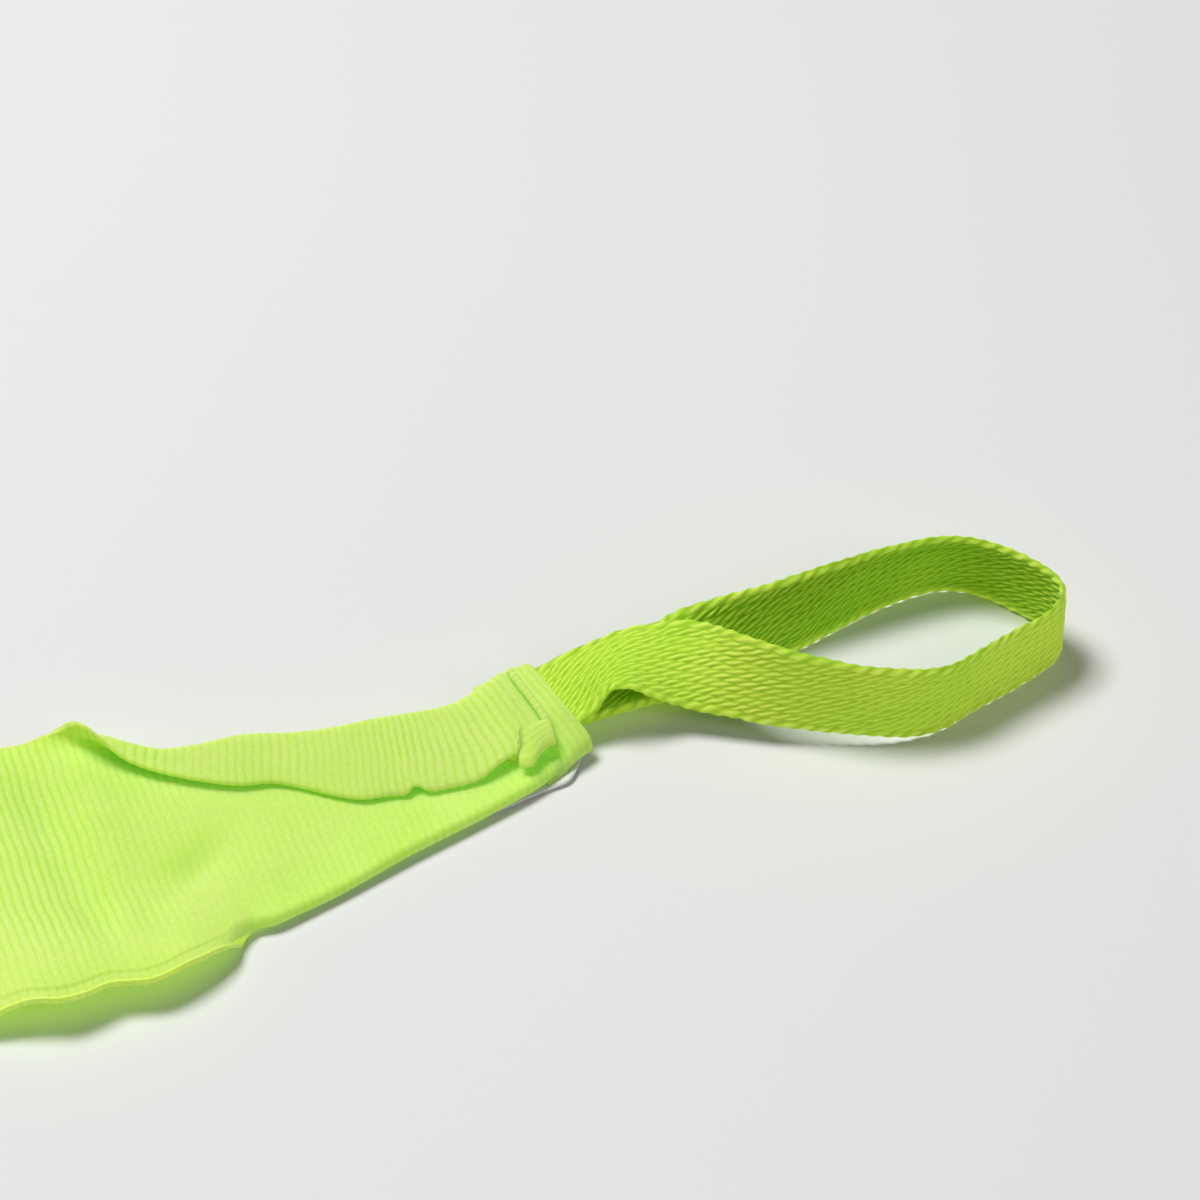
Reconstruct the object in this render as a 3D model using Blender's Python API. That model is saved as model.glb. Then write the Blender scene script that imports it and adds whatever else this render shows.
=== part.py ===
"""Wrap-type sweat wristband with a thumb loop, lying open on a flat surface.

One strip of ribbed cotton makes the band. Its right-hand end (+X) is folded to a taper around
the two ends of a cotton tape, whose loop goes over the thumb. The other end is a hemmed tab
with a hook patch, which closes on a pile patch under the band. The strip bends everywhere; a
chain of short segments, hinged at mid thickness, stands for that.

Metres, +Z up. The origin is the middle of the pile patch's underside, +X runs along the band
towards the thumb loop, and the surface that the band lies on is z = 0.
"""
import math

import bmesh
import bpy
import numpy as np
from mathutils import Vector

MM = 0.001
GAP = 0.3 * MM                    # clearance between touching pieces

# Band strip
BAND_WIDTH = 50 * MM
PLY = 1.0 * MM                    # thickness of the ribbed cotton
MOUTH_X = 114 * MM                # end of the folded taper, where the tape comes out
MOUTH_Y = 6.5 * MM                # middle of that end
MOUTH_TURN = math.radians(10)     # the mouth faces this far left of +X
ROOT_LENGTH = 132 * MM            # mouth to the first bending line
SEGMENT_PITCH = 20 * MM
SEGMENT_COUNT = 7
TAB_LENGTH = 34 * MM
HEM_LENGTH = 8 * MM
HINGE_BEVEL = 0.45 * MM           # slant of a segment's end face, so it can bend upwards
HALF = BAND_WIDTH / 2

# Patches, label and thread
PATCH_THICKNESS = 1.4 * MM
PILE_LENGTH = 32 * MM
HOOK_LENGTH = 26 * MM
PATCH_WIDTH = 38 * MM
PATCH_CORNER = 3 * MM
HOOK_THICKNESS = 1.2 * MM
LABEL_THICKNESS = 0.3 * MM
THREAD_RADIUS = 0.2 * MM
STITCH_INSET = 2 * MM

# Thumb loop tape
TAPE_WIDTH = 12.8 * MM
TAPE = 0.8 * MM
TAPE_SEWN = 13 * MM               # length of each tape end inside the folded end
AXIS_AHEAD = 1.6 * MM             # thumb loop's bending line, ahead of the mouth

BAND_Z = PATCH_THICKNESS + GAP + PLY / 2      # mid thickness of the flat band
MOUTH_RISE = 0.5 * MM                         # extra height of the ply at the mouth
FIRST_HINGE_X = MOUTH_X - ROOT_LENGTH
FOLD_UNDER = PLY + GAP                        # mid-to-mid distance of a flat fold
FOLD_OVER_TAPE = PLY + 2 * TAPE + 3 * GAP     # the same where both tape ends lie inside

# Outlines of the folded end: distance behind the mouth, then y, in millimetres.
REAR_FOLD = [(132, 25), (78, 25), (66, 21), (58, 17), (45, 15.2), (20, 12.5), (0, 14)]
FRONT_FOLD = [(132, -25), (64, -25), (57, -23.4), (52, -20), (41, -17.5), (17, -9.6), (0, -4)]
# How far the rear margin reaches over the top, by distance behind the mouth, in millimetres.
FLAP_REACH = [(66, 0), (60, 4), (53, 8), (40, 11.5), (31, 16), (15, 18), (0, 16)]

# Thumb loop, in the mouth's own axes: distance ahead, to the left, height (mm), and the lean of
# the tape: 0 lies with its outer face up, 90 stands on its edge, 180 has its outer face down.
LOOP_ROUTE = [
    (2.7, 0.4, 5.0, 0), (7.5, 1, 6.6, 5), (13, -1.5, 8.4, 16), (18, -5, 8.6, 42),
    (23.5, -11.5, 7.7, 67), (30, -17.5, 6.9, 80), (38, -24.5, 6.6, 88), (47, -29.5, 6.6, 92),
    (56, -29, 6.6, 94), (67, -27.5, 6.6, 92), (73, -24.5, 6.6, 85), (74.5, -19, 6.6, 82),
    (71.5, -10.5, 6.6, 82), (66, -4.5, 6.6, 83), (57, -2.5, 6.6, 85), (48, -2.5, 6.6, 94),
    (38, -3, 6.6, 104), (27, -2, 6.2, 118), (17.5, -1.5, 5.4, 140), (9, -0.5, 3.9, 165),
    (2.7, 0.4, 3.9, 180),
]
LOOP_STEPS = 5                    # spline steps between two points of the route
TAPE_OFFSET = 0.4 * MM            # sewn-in tape ends, left of the mouth's middle

GREEN_BAND = (0.62, 0.90, 0.12)
GREEN_TAPE = (0.36, 0.62, 0.04)
WHITE = (0.86, 0.87, 0.84)


def clear_scene():
    for thing in list(bpy.data.objects):
        bpy.data.objects.remove(thing, do_unlink=True)


def material(name, colour, roughness):
    made = bpy.data.materials.new(name)
    made.use_nodes = True
    shader = made.node_tree.nodes["Principled BSDF"]
    shader.inputs["Base Color"].default_value = (*colour, 1.0)
    shader.inputs["Roughness"].default_value = roughness
    shader.inputs["Metallic"].default_value = 0.0
    made.diffuse_color = (*colour, 1.0)
    return made


def add_object(name, mesh, colour, roughness=0.9):
    mesh.materials.append(material(name, colour, roughness))
    made = bpy.data.objects.new(name, mesh)
    bpy.context.scene.collection.objects.link(made)
    return made


def smooth(low, high, value):
    """0 at low, 1 at high, with a level start and end."""
    t = min(max((value - low) / (high - low), 0.0), 1.0)
    return t * t * (3 - 2 * t)


def mesh_from(name, verts, faces):
    """A closed mesh with its faces pointing out."""
    mesh = bpy.data.meshes.new(name)
    mesh.from_pydata([tuple(v) for v in verts], [], faces)
    work = bmesh.new()
    work.from_mesh(mesh)
    bmesh.ops.recalc_face_normals(work, faces=work.faces)
    work.to_mesh(mesh)
    work.free()
    return mesh


def loft_strip(name, sections):
    """Skins a ribbon. Each section is (upper side points, lower side points)."""
    rings = [list(upper) + list(reversed(lower)) for upper, lower in sections]
    count = len(rings[0])
    pairs = count // 2
    verts = [point for ring in rings for point in ring]
    faces = []
    for row in range(len(rings) - 1):
        for k in range(count):
            after = (k + 1) % count
            base = row * count
            faces.append((base + k, base + after, base + count + after, base + count + k))
    for base in (0, (len(rings) - 1) * count):
        for k in range(pairs - 1):
            faces.append((base + k, base + k + 1, base + count - 2 - k, base + count - 1 - k))
    return mesh_from(name, verts, faces)


def turn(start, heading, angle, length, tail, steps=6):
    """A line that bends left by angle over its first length, then runs straight for tail."""
    points = []
    place = Vector(start)
    for k in range(steps):
        middle = heading + angle * (k + 0.5) / steps
        place = place + Vector((math.cos(middle), math.sin(middle))) * (length / steps)
        points.append(place)
    along = Vector((math.cos(heading + angle), math.sin(heading + angle)))
    return points + [place + along * (tail / 2), place + along * tail]


def sides(path, thickness):
    """The two sides of a ribbon drawn as a 2-D line."""
    left, right = [], []
    for k, point in enumerate(path):
        run = path[min(k + 1, len(path) - 1)] - path[max(k - 1, 0)]
        normal = Vector((-run.y, run.x)).normalized() * (thickness / 2)
        left.append(point + normal)
        right.append(point - normal)
    return left, right


# ---- the band's folded end -------------------------------------------------------------

def outline(points, back):
    distances = [p[0] for p in reversed(points)]
    values = [p[1] for p in reversed(points)]
    return float(np.interp(back / MM, distances, values)) * MM


def ply_height(back):
    """Mid height of the main ply, by distance behind the mouth."""
    return BAND_Z + MOUTH_RISE * smooth(44 * MM, 14 * MM, back)


def edge_lift(back, y):
    """The strip's long edges curl up a little behind the taper."""
    along = smooth(58 * MM, 72 * MM, back) * smooth(98 * MM, 84 * MM, back)
    return 1.5 * MM * along * smooth(8 * MM, HALF, abs(y))


def mouth_slant(back, y):
    """The cross-sections turn with the mouth over the last part of the taper."""
    return MOUTH_X - back - math.tan(MOUTH_TURN) * (y - MOUTH_Y) * smooth(30 * MM, 0, back)


def fold_sizes(reach, fold_distance, folded):
    """How far inside the fold line the bend starts, its length, and the flap beyond it."""
    radius = fold_distance / 2
    arc = math.pi * radius
    tail = max(reach - radius, 0.4 * MM)
    inset = folded * radius + (1 - folded) * (arc + tail)
    return inset, arc, tail


def thumb_end_section(back):
    rear = outline(REAR_FOLD, back)
    front = outline(FRONT_FOLD, back)
    height = ply_height(back)
    over_tape = smooth(30 * MM, 15 * MM, back)
    over = FOLD_UNDER + (FOLD_OVER_TAPE - FOLD_UNDER) * over_tape
    rear_folded = smooth(76 * MM, 62 * MM, back)
    front_folded = smooth(60 * MM, 55 * MM, back)

    reach = outline(FLAP_REACH, back)
    inset, arc, tail = fold_sizes(reach, over, rear_folded)
    rear_start = Vector((rear - inset, height))
    top = turn(rear_start, 0.0, math.pi * rear_folded, arc, tail)

    reach = min(HALF + front, rear - front - 3 * MM)
    inset, arc, tail = fold_sizes(reach, FOLD_UNDER, front_folded)
    front_start = Vector((front + inset, height))
    under = turn(front_start, math.pi, math.pi * front_folded, arc, tail)

    main = [rear_start.lerp(front_start, k / 8) for k in range(9)]
    return list(reversed(top)) + main + under


def build_thumb_end():
    """The taper: rear margin folded over the top, front margin folded beneath."""
    stations = np.concatenate([
        np.linspace(ROOT_LENGTH, 78 * MM, 6),
        np.linspace(75 * MM, 57 * MM, 19),
        np.linspace(54 * MM, 0.0, 19),
    ])
    sections = []
    for number, back in enumerate(stations):
        left, right = sides(thumb_end_section(back), PLY)
        rows = []
        for side in (left, right):
            rows.append([Vector((mouth_slant(back, p.x), p.x, p.y + edge_lift(back, p.x)))
                         for p in side])
        if number == 0:
            slant_end(rows[0] + rows[1], FIRST_HINGE_X, 1)
        sections.append(rows)
    mesh = loft_strip("band_thumb_end", sections)
    return add_object("band_thumb_end", mesh, GREEN_BAND)


def slant_end(points, hinge_x, side):
    """Moves an end face clear of its bending line, and slants it away above."""
    for point in points:
        point.x = hinge_x + side * GAP / 2
        if point.z > BAND_Z:
            point.x += side * HINGE_BEVEL


# ---- the band's bending part -----------------------------------------------------------

def hinge_x(number):
    return FIRST_HINGE_X - number * SEGMENT_PITCH


def extrude_across(name, path, hinge_start, hinge_end=None):
    """A ribbon drawn in the X-Z plane, as wide as the band, placed on its hinge."""
    left, right = sides(path, PLY)
    sections = []
    for y in (HALF, -HALF):
        rows = [[Vector((p.x, y, p.y)) for p in side] for side in (left, right)]
        slant_end([rows[0][0], rows[1][0]], hinge_start, -1)
        if hinge_end is not None:
            slant_end([rows[0][-1], rows[1][-1]], hinge_end, 1)
        sections.append(rows)
    origin = Vector((hinge_start, 0, BAND_Z))
    for rows in sections:
        for row in rows:
            for point in row:
                point -= origin
    made = add_object(name, loft_strip(name, sections), GREEN_BAND)
    made.location = origin
    return made


def build_segment(number):
    start, end = hinge_x(number - 1), hinge_x(number)
    path = [Vector((start + (end - start) * k / 4, BAND_Z)) for k in range(5)]
    return extrude_across(f"band_segment_{number}", path, start, end)


def build_tab():
    """The far end, its last few millimetres folded under as a hem."""
    start = hinge_x(SEGMENT_COUNT)
    radius = FOLD_UNDER / 2
    fold_x = start - TAB_LENGTH + radius + PLY / 2
    flat = [Vector((start + (fold_x - start) * k / 4, BAND_Z)) for k in range(5)]
    hem = turn(flat[-1], math.pi, math.pi, math.pi * radius, HEM_LENGTH)
    return extrude_across("band_tab", flat + hem, start)


# ---- patches, label, tape ends and thread ----------------------------------------------

def rounded_outline(length, width, corner, steps=4):
    points = []
    for quarter in range(4):
        cx = (length / 2 - corner) * (1 if quarter in (0, 3) else -1)
        cy = (width / 2 - corner) * (1 if quarter in (0, 1) else -1)
        for k in range(steps + 1 if corner > 0 else 1):
            angle = math.pi / 2 * (quarter + k / steps)
            points.append((cx + corner * math.cos(angle), cy + corner * math.sin(angle)))
    return points


def plate(name, centre, size, corner, colour):
    """A flat piece with rounded corners; centre is the middle of its underside."""
    length, width, thickness = size
    shape = rounded_outline(length, width, corner)
    count = len(shape)
    verts = [(x, y, z) for z in (0.0, thickness) for x, y in shape]
    faces = [tuple(range(count)), tuple(range(count, 2 * count))]
    for k in range(count):
        after = (k + 1) % count
        faces.append((k, after, count + after, count + k))
    made = add_object(name, mesh_from(name, verts, faces), colour)
    made.location = centre
    return made


def thread(name, points, closed, colour):
    """A line of stitching as one tube."""
    curve = bpy.data.curves.new(name, "CURVE")
    curve.dimensions = "3D"
    curve.bevel_depth = THREAD_RADIUS
    curve.bevel_resolution = 1
    curve.use_fill_caps = True
    spline = curve.splines.new("POLY")
    spline.points.add(len(points) - 1)
    for target, point in zip(spline.points, points):
        target.co = (*point, 1.0)
    spline.use_cyclic_u = closed
    return add_object(name, curve, colour)


def patch_stitch(name, centre_x, height, length):
    shape = rounded_outline(length - 2 * STITCH_INSET, PATCH_WIDTH - 2 * STITCH_INSET,
                            PATCH_CORNER - STITCH_INSET / 2)
    points = [(centre_x + x, y, height) for x, y in shape]
    return thread(name, points, True, GREEN_BAND)


def build_patches(tab):
    pile = plate("pile_patch", (0, 0, 0), (PILE_LENGTH, PATCH_WIDTH, PATCH_THICKNESS),
                 PATCH_CORNER, GREEN_BAND)
    top = BAND_Z + PLY / 2 + GAP
    pile_stitch = patch_stitch("pile_patch_stitching", 0.0, top + THREAD_RADIUS, PILE_LENGTH)

    hook_x = hinge_x(SEGMENT_COUNT) - TAB_LENGTH + HOOK_LENGTH / 2 + 2.5 * MM
    hook = plate("hook_patch", (hook_x, 0, top), (HOOK_LENGTH, PATCH_WIDTH, HOOK_THICKNESS),
                 PATCH_CORNER, GREEN_BAND)
    hook_top = top + HOOK_THICKNESS + GAP + THREAD_RADIUS
    hook_stitch = patch_stitch("hook_patch_stitching", hook_x, hook_top, HOOK_LENGTH)
    for piece in (hook, hook_stitch):
        attach(piece, tab)
    return [pile, pile_stitch]


def at_mouth(ahead, left, height):
    """A point in the mouth's own axes, as a point in the part's frame."""
    cos, sin = math.cos(MOUTH_TURN), math.sin(MOUTH_TURN)
    return Vector((MOUTH_X + ahead * cos - left * sin, MOUTH_Y + ahead * sin + left * cos,
                   height))


def build_mouth_pieces():
    """The sewn-in tape ends, the blank label and the stitching that holds them."""
    sewn = TAPE_SEWN - GAP
    ply_top = ply_height(0.0) + PLY / 2
    made = []
    for number, name in enumerate(("tape_end_lower", "tape_end_upper")):
        height = ply_top + GAP + number * (TAPE + GAP)
        centre = at_mouth(-GAP - sewn / 2, TAPE_OFFSET, height)
        made.append(plate(name, centre, (sewn, TAPE_WIDTH, TAPE), 0.0, GREEN_TAPE))
    label_z = ply_height(0.0) - FOLD_UNDER - PLY / 2 - GAP - LABEL_THICKNESS
    centre = at_mouth(-9 * MM, -3 * MM, label_z)
    made.append(plate("blank_label", centre, (20 * MM, 10 * MM, LABEL_THICKNESS), 0.0, WHITE))
    for piece in made:
        piece.rotation_euler = (0, 0, MOUTH_TURN)
    height = ply_height(0.0) + FOLD_OVER_TAPE + PLY / 2 + GAP + THREAD_RADIUS
    zigzag = []
    for k in range(17):
        ahead = -(7.4 if k % 2 else 9.4) * MM
        zigzag.append(at_mouth(ahead, (k - 8) * 0.7 * MM, height))
    made.append(thread("loop_anchor_stitching", zigzag, False, GREEN_BAND))
    return made


def build_hem_stitch(tab):
    x = hinge_x(SEGMENT_COUNT) - TAB_LENGTH + 1.0 * MM
    height = BAND_Z + PLY / 2 + GAP + THREAD_RADIUS
    points = [(x, (k / 10 - 1) * 23 * MM, height) for k in range(21)]
    attach(thread("tab_hem_stitching", points, False, GREEN_BAND), tab)


# ---- the thumb loop --------------------------------------------------------------------

def loop_stations():
    """Points and leans along the loop, on a Catmull-Rom spline through its route."""
    route = np.array(LOOP_ROUTE, dtype=float)
    before = 2 * route[0] - route[1]
    after = 2 * route[-1] - route[-2]
    knots = np.vstack([before, route, after])
    rows = []
    for k in range(1, len(knots) - 2):
        a, b, c, d = knots[k - 1:k + 3]
        for step in range(LOOP_STEPS):
            t = step / LOOP_STEPS
            rows.append(0.5 * (2 * b + (c - a) * t + (2 * a - 5 * b + 4 * c - d) * t ** 2
                               + (3 * b - a - 3 * c + d) * t ** 3))
    rows.append(route[-1])
    return np.array(rows)


def build_loop():
    rows = loop_stations()
    points = np.array([at_mouth(*(row[:3] * MM)) for row in rows])
    leans = np.radians(rows[:, 3])
    runs = np.gradient(points, axis=0)
    origin = at_mouth(AXIS_AHEAD, 0.0, loop_axis_z())
    verts = []
    for point, run, lean in zip(points, runs, leans):
        along = Vector(run).normalized()
        level = Vector((-along.y, along.x, 0)).normalized()
        across = level * math.cos(lean) + Vector((0, 0, 1)) * math.sin(lean)
        across = (across - along * across.dot(along)).normalized()
        outward = along.cross(across)
        centre = Vector(point) - origin
        for side, face in ((1, 1), (-1, 1), (-1, -1), (1, -1)):
            verts.append(centre + across * (side * TAPE_WIDTH / 2) + outward * (face * TAPE / 2))
    count = len(points)
    faces = [(3, 2, 1, 0), tuple(range(4 * count - 4, 4 * count))]
    for row in range(count - 1):
        for k in range(4):
            after = (k + 1) % 4
            base = 4 * row
            faces.append((base + k, base + after, base + 4 + after, base + 4 + k))
    made = add_object("thumb_loop", mesh_from("thumb_loop", verts, faces), GREEN_TAPE)
    made.location = origin
    return made


def loop_axis_z():
    """Half way between the two tape ends at the mouth."""
    return ply_height(0.0) + PLY / 2 + 1.5 * GAP + TAPE


def attach(piece, parent):
    """Parents a piece whose location is in world coordinates, and leaves it in place."""
    holder = parent
    offset = Vector((0, 0, 0))
    while holder is not None:
        offset += holder.location
        holder = holder.parent
    piece.location = Vector(piece.location) - offset
    piece.parent = parent


def main():
    clear_scene()
    thumb_end = build_thumb_end()
    holder = thumb_end
    for number in range(1, SEGMENT_COUNT + 1):
        segment = build_segment(number)
        attach(segment, holder)
        holder = segment
    tab = build_tab()
    attach(tab, holder)
    build_hem_stitch(tab)
    for piece in build_patches(tab) + build_mouth_pieces() + [build_loop()]:
        attach(piece, thumb_end)


main()
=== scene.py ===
"""Visual model of the wrap-type sweat wristband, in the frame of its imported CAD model.

Metres, +Z up. Small sizes are written in millimetres and multiplied by MM.
"""
import math

import bpy
import numpy as np
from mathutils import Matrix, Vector


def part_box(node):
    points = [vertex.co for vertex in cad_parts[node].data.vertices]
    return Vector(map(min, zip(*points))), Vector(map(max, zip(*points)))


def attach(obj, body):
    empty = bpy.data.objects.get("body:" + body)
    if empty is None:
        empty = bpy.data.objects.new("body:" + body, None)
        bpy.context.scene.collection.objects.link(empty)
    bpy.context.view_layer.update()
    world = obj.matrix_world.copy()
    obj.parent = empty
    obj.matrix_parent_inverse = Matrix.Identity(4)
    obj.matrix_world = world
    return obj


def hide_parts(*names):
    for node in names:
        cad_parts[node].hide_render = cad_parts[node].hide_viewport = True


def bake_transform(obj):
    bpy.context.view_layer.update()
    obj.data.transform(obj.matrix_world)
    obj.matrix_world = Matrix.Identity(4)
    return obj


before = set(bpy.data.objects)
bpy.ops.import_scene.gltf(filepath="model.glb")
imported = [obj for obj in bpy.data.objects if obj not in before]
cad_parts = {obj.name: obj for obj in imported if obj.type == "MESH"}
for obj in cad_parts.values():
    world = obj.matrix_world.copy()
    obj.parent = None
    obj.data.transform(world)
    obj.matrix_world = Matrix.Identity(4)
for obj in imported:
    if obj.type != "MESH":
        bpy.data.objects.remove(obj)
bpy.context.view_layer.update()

MM = 0.001

# Places of the CAD model that the fabric follows
MOUTH_X = 114.0
MOUTH_Y = 6.5
MOUTH_TURN = math.radians(10)
BAND_Z = 2.2
HALF = 25.0
FIRST_HINGE = 132.0               # distance behind the mouth
PITCH = 20.0
SEGMENTS = 7
BAND_LENGTH = 306.0

# Ribbed cotton
PLY = 1.0
RIB = 1.25                        # pitch of the ribs
RIB_HEIGHT = 0.085
ROWS_PER_RIB = 5
SLIT = 0.03                       # between neighbouring pieces, so that no faces coincide

# Tape
TAPE_WIDTH = 12.8
TAPE = 0.8
YARN_ROWS = 10
TWIST = 1.9                       # length of one twist of a yarn
TAPE_STEP = 0.26


# ---- small helpers ---------------------------------------------------------------------

def smooth(low, high, value):
    """0 at low, 1 at high, with a level start and end."""
    t = np.clip((np.asarray(value, float) - low) / (high - low), 0.0, 1.0)
    return t * t * (3 - 2 * t)


def bump(centre, width, value):
    """A rounded rise of height 1."""
    return np.exp(-((np.asarray(value, float) - centre) / width) ** 2)


def curve(points, value):
    """A smooth line through (position, value) pairs."""
    knots = np.array(sorted(points), float)
    x, y = knots[:, 0], knots[:, 1]
    slope = np.gradient(y, x)
    value = np.clip(value, x[0], x[-1])
    k = np.clip(np.searchsorted(x, value) - 1, 0, len(x) - 2)
    width = x[k + 1] - x[k]
    t = (value - x[k]) / width
    rise = t * t * (3 - 2 * t)
    start = t * (1 - t) ** 2
    end = -t * t * (1 - t)
    return y[k] * (1 - rise) + y[k + 1] * rise + width * (slope[k] * start + slope[k + 1] * end)


def ripple(a, b, seed):
    """Smooth irregular values between about -1 and 1 over a plane."""
    total = np.zeros(np.broadcast(a, b).shape)
    for k in range(5):
        turn = 2.399 * k + 1.7 * seed
        pace = 1.0 + 0.37 * k
        total = total + np.sin(pace * (a * math.cos(turn) + b * math.sin(turn)) + 4.1 * turn)
    return total / 3.2


def new_object(name, mesh, material):
    mesh.materials.append(material)
    made = bpy.data.objects.new(name, mesh)
    bpy.context.scene.collection.objects.link(made)
    return made


def mesh_from(name, points, faces, pattern=None, relief=None):
    """A smooth-shaded mesh; pattern gives each vertex its place on the cloth in mm."""
    mesh = bpy.data.meshes.new(name)
    mesh.from_pydata((points * MM).tolist(), [], faces)
    mesh.polygons.foreach_set("use_smooth", np.ones(len(mesh.polygons), bool))
    if pattern is not None:
        corners = np.empty(len(mesh.loops), dtype=np.int32)
        mesh.loops.foreach_get("vertex_index", corners)
        layer = mesh.uv_layers.new(name="cloth")
        layer.data.foreach_set("uv", pattern[corners].astype(np.float32).ravel())
    if relief is not None:
        height = mesh.attributes.new("relief", "FLOAT", "POINT")
        height.data.foreach_set("value", relief.astype(np.float32))
    mesh.update()
    return mesh


def closed_sheet(name, front, back, pattern, relief, front_painted_light=0.0, back_painted_light=0.0):
    """A thick sheet from two grids of points, front and back, joined round the rim.

    The painted light of a side, from 0 to 1, is stored per vertex for the materials. They turn it
    into painted glow and painted shade: emission and colour that stand in for light passing
    through the cloth and falling on it.
    """
    rows, columns = front.shape[:2]
    ring = np.concatenate([front, back[:, ::-1]], axis=1)
    around = 2 * columns
    index = np.arange(rows * around).reshape(rows, around)
    after = np.roll(index, -1, axis=1)
    quads = np.stack([index[:-1], after[:-1], after[1:], index[1:]], axis=-1).reshape(-1, 4)
    near = np.arange(columns - 1)
    far = around - 1 - near
    start = np.stack([near, far, far - 1, near + 1], axis=-1)
    base = (rows - 1) * around
    end = np.stack([near, near + 1, far - 1, far], axis=-1) + base
    faces = np.concatenate([quads, start, end]).tolist()
    doubled = np.concatenate([pattern, pattern[:, ::-1]], axis=1).reshape(-1, 2)
    heights = np.concatenate([relief, relief[:, ::-1]], axis=1).ravel()
    mesh = mesh_from(name, ring.reshape(-1, 3), faces, doubled, heights)
    rounded = np.ones(len(faces), bool)
    rounded[len(quads):] = False
    mesh.polygons.foreach_set("use_smooth", rounded)
    # The painted glow fades out over the outer columns of the rim, so no bright line shows along
    # the edge.
    place = np.arange(columns)
    inner = smooth(2, 9, np.minimum(place, columns - 1 - place))[None, :]
    painted_light_share = np.concatenate([front_painted_light * inner + 0 * relief,
                            (back_painted_light * inner + 0 * relief)[:, ::-1]], axis=1)
    # Per-vertex painted light, read by the materials' emission and colour.
    layer = mesh.attributes.new("painted_light_mask", "FLOAT", "POINT")
    layer.data.foreach_set("value", painted_light_share.astype(np.float32).ravel())
    return mesh


def rim(count, steps=(0.45, 0.8, 0.95)):
    """Thickness shares across a sheet that is rounded off at both edges."""
    share = np.ones(count)
    share[:len(steps)] = steps
    share[-len(steps):] = steps[::-1]
    return share


def ribs(along, across):
    """Height of the ribs, from about -1 to 1, at a place on the cloth in mm."""
    wander = 0.10 * np.sin(0.31 * across + 0.05 * along) + 0.07 * np.sin(0.83 * across + 1.0)
    turns = 2 * np.pi * (along + wander) / RIB
    number = np.floor((along + wander) / RIB + 0.5)
    strength = 0.86 + 0.14 * np.sin(12.9898 * number)
    strength = strength * (1 + 0.16 * ripple(0.9 * across, 0.35 * along, 3.0))
    return strength * (np.cos(turns) - 0.22 * np.cos(2 * turns))


def wear(back, y):
    """How clearly the ribs stand out: worn nearly smooth in places on the taper."""
    taper = 0.30 + 0.16 * ripple(back / 6.0, y / 6.0, 8.0)
    return taper + (0.72 - taper) * smooth(58, 74, back)


# ---- materials -------------------------------------------------------------------------

class Nodes:
    """Builds one material's nodes."""

    def __init__(self, name):
        self.material = bpy.data.materials.new(name)
        self.material.use_nodes = True
        self.tree = self.material.node_tree
        self.shader = self.tree.nodes["Principled BSDF"]

    def add(self, kind, **settings):
        node = self.tree.nodes.new(kind)
        for key, value in settings.items():
            setattr(node, key, value)
        return node

    def link(self, start, end):
        self.tree.links.new(start, end)

    def math(self, operation, a, b):
        node = self.add("ShaderNodeMath", operation=operation)
        for socket, value in zip(node.inputs, (a, b)):
            if isinstance(value, (int, float)):
                socket.default_value = value
            else:
                self.link(value, socket)
        return node.outputs[0]

    def ramp(self, factor, stops):
        node = self.add("ShaderNodeValToRGB")
        while len(node.color_ramp.elements) < len(stops):
            node.color_ramp.elements.new(0.5)
        for element, (place, colour) in zip(node.color_ramp.elements, stops):
            element.position = place
            element.color = (*colour, 1.0)
        self.link(factor, node.inputs["Fac"])
        return node.outputs["Color"]

    def noise(self, vector, scale, detail=3.0, roughness=0.55):
        node = self.add("ShaderNodeTexNoise")
        node.inputs["Scale"].default_value = scale
        node.inputs["Detail"].default_value = detail
        node.inputs["Roughness"].default_value = roughness
        self.link(vector, node.inputs["Vector"])
        return node.outputs["Fac"]

    def scaled(self, vector, size):
        node = self.add("ShaderNodeMapping")
        node.inputs["Scale"].default_value = size
        self.link(vector, node.inputs["Vector"])
        return node.outputs["Vector"]

    def mix(self, factor, a, b, blend="MIX"):
        node = self.add("ShaderNodeMix", data_type="RGBA", blend_type=blend)
        for socket, value in ((node.inputs[0], factor), (node.inputs[6], a), (node.inputs[7], b)):
            if isinstance(value, (int, float)):
                socket.default_value = value
            elif isinstance(value, tuple):
                socket.default_value = (*value, 1.0)
            else:
                self.link(value, socket)
        return node.outputs[2]

    def bump(self, height, strength, distance):
        node = self.add("ShaderNodeBump")
        node.inputs["Strength"].default_value = strength
        node.inputs["Distance"].default_value = distance
        self.link(height, node.inputs["Height"])
        self.link(node.outputs["Normal"], self.shader.inputs["Normal"])

    def set(self, **values):
        for key, value in values.items():
            self.shader.inputs[key.replace("_", " ")].default_value = value


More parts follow.
